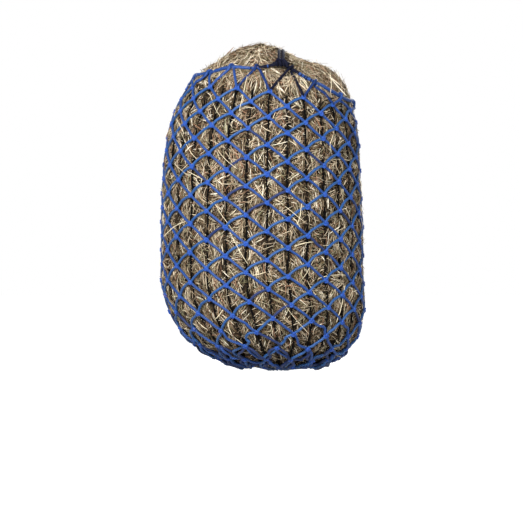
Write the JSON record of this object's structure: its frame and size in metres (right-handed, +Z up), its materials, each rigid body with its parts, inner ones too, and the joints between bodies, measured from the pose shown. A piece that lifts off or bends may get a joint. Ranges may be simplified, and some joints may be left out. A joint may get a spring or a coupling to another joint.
{
  "type": "hay net",
  "caption": "Knotted small-mesh rope hay net, full of hay, drawn in at the mouth by a drawcord whose doubled tail ends in a hanging eye.",
  "frame": {"origin": "on the floor, straight below the middle of the base ring", "axes": "+Z up through the mouth, -Y towards the side that the drawcord's hitch is on, +X to the right as seen from that side"},
  "size_m": [0.4124, 0.4054, 0.6492],
  "materials": {
    "mesh_cord": "braided synthetic cord, slightly glossy",
    "inner_cord": "matte dark twine",
    "draw_rope": "twisted synthetic rope",
    "ring_steel": "galvanised, dull",
    "hay": "dry matte stalks"
  },
  "bodies": {
    "filled_net": {"hay_fill": "hay", "hay_crown": "hay", "inner_cords": "inner_cord", "base_loops": "mesh_cord", "net_course_01": "mesh_cord", "net_course_02": "mesh_cord", "net_course_03": "mesh_cord", "net_course_04": "mesh_cord", "net_course_05": "mesh_cord", "net_course_06": "mesh_cord", "net_course_07": "mesh_cord", "net_course_08": "mesh_cord", "net_course_09": "mesh_cord", "net_course_10": "mesh_cord", "net_course_11": "mesh_cord", "net_course_12": "mesh_cord", "net_course_13": "mesh_cord", "net_course_14": "mesh_cord", "net_course_15": "mesh_cord", "net_course_16": "mesh_cord", "net_course_17": "mesh_cord", "net_course_18": "mesh_cord", "net_course_19": "mesh_cord", "net_course_20": "mesh_cord", "mouth_loops": "mesh_cord", "drawcord": "draw_rope", "drawcord_hitch": "draw_rope"},
    "base_ring": {"base_ring": "ring_steel"},
    "tail_1": {"tail_1": "draw_rope"},
    "tail_2": {"tail_2": "draw_rope"},
    "tail_3": {"tail_3": "draw_rope"},
    "tail_4": {"tail_4": "draw_rope"},
    "tail_5": {"tail_5": "draw_rope"},
    "tail_6": {"tail_6": "draw_rope"},
    "tail_7": {"tail_7": "draw_rope"},
    "tail_8": {"tail_8": "draw_rope", "tail_knot": "draw_rope", "hanging_eye": "draw_rope"}
  },
  "joints": [
    {"name": "tail_lift", "type": "hinge", "parent": "filled_net", "child": "tail_1", "pos_m": [0.006, -0.10783, 0.61935], "axis": [1, 0, 0], "range_deg": [0, 69]},
    {"name": "tail_bend_2", "type": "hinge", "parent": "tail_1", "child": "tail_2", "pos_m": [0.006, -0.05679, 0.63627], "axis": [1, 0, 0], "range_deg": [0, 14.42]},
    {"name": "tail_bend_3", "type": "hinge", "parent": "tail_2", "child": "tail_3", "pos_m": [0.006, -0.00299, 0.63998], "axis": [1, 0, 0], "range_deg": [0, 6.9]},
    {"name": "tail_bend_4", "type": "hinge", "parent": "tail_3", "child": "tail_4", "pos_m": [0.006, 0.05088, 0.63721], "axis": [1, 0, 0], "range_deg": [0, 13.45]},
    {"name": "tail_bend_5", "type": "hinge", "parent": "tail_4", "child": "tail_5", "pos_m": [0.006, 0.10248, 0.62205], "axis": [1, 0, 0], "range_deg": [0, 19.95]},
    {"name": "tail_bend_6", "type": "hinge", "parent": "tail_5", "child": "tail_6", "pos_m": [0.006, 0.14575, 0.59026], "axis": [1, 0, 0], "range_deg": [0, 19.88]},
    {"name": "tail_side_swing", "type": "hinge", "parent": "tail_6", "child": "tail_7", "pos_m": [0.006, 0.17568, 0.54559], "axis": [0, 0.9482, 0.3176], "range_deg": [-30, 30]},
    {"name": "tail_bend_8", "type": "hinge", "parent": "tail_7", "child": "tail_8", "pos_m": [0.006, 0.19279, 0.49449], "axis": [1, 0, 0], "range_deg": [0, 10.49]},
    {"name": "base_ring_turn", "type": "hinge", "parent": "filled_net", "child": "base_ring", "pos_m": [0, 0, 0.0085], "axis": [0, 0, 1], "continuous": true}
  ],
  "couplings": [
    {"joint": "tail_bend_2", "follows": "tail_lift", "ratio": 0.2087},
    {"joint": "tail_bend_3", "follows": "tail_lift", "ratio": 0.09972},
    {"joint": "tail_bend_4", "follows": "tail_lift", "ratio": 0.19464},
    {"joint": "tail_bend_5", "follows": "tail_lift", "ratio": 0.28898},
    {"joint": "tail_bend_6", "follows": "tail_lift", "ratio": 0.28789},
    {"joint": "tail_bend_8", "follows": "tail_lift", "ratio": 0.15174}
  ]
}
